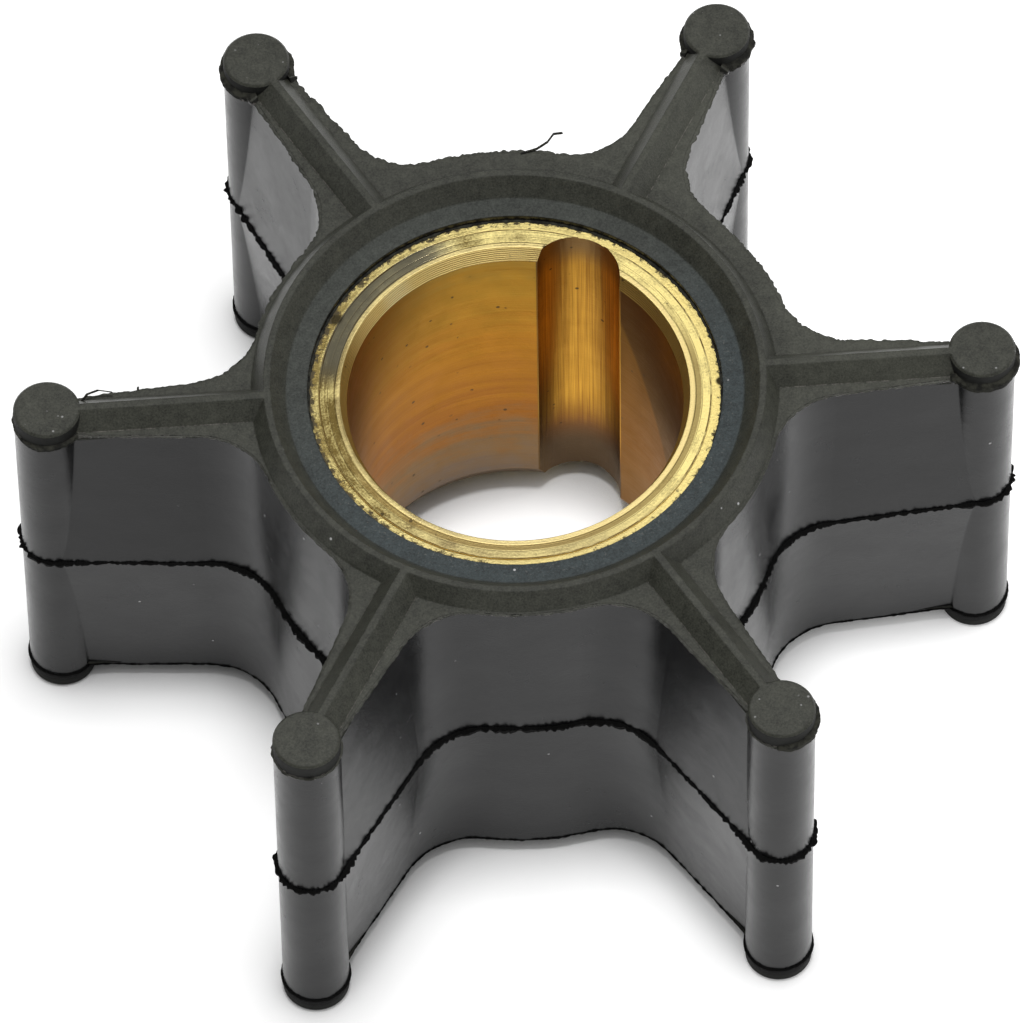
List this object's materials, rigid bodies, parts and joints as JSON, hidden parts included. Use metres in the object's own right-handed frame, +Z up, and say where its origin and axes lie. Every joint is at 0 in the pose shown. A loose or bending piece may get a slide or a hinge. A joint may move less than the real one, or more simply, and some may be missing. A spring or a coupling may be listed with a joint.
{
  "type": "pump impeller",
  "caption": "Flexible-vane water pump impeller: rubber hub with straight radial vanes and round tips, bonded round a brass bush with a half-round keyway.",
  "frame": {"origin": "on the bore axis, at the bottom, where the vane tips, ring and ribs rest on a flat surface", "axes": "+Z up along the bore axis, +X along the centre line of one vane; the keyway lies at 63 degrees from +X towards +Y"},
  "size_m": [0.0544, 0.0476, 0.0254],
  "materials": {
    "rubber": "matte black moulded rubber with ragged flash at the mould lines",
    "brass": "turned brass, brown and dull in the bore, bright at the lead-in"
  },
  "bodies": {
    "root": {"rubber_body": "rubber", "brass_bush": "brass"}
  },
  "joints": []
}
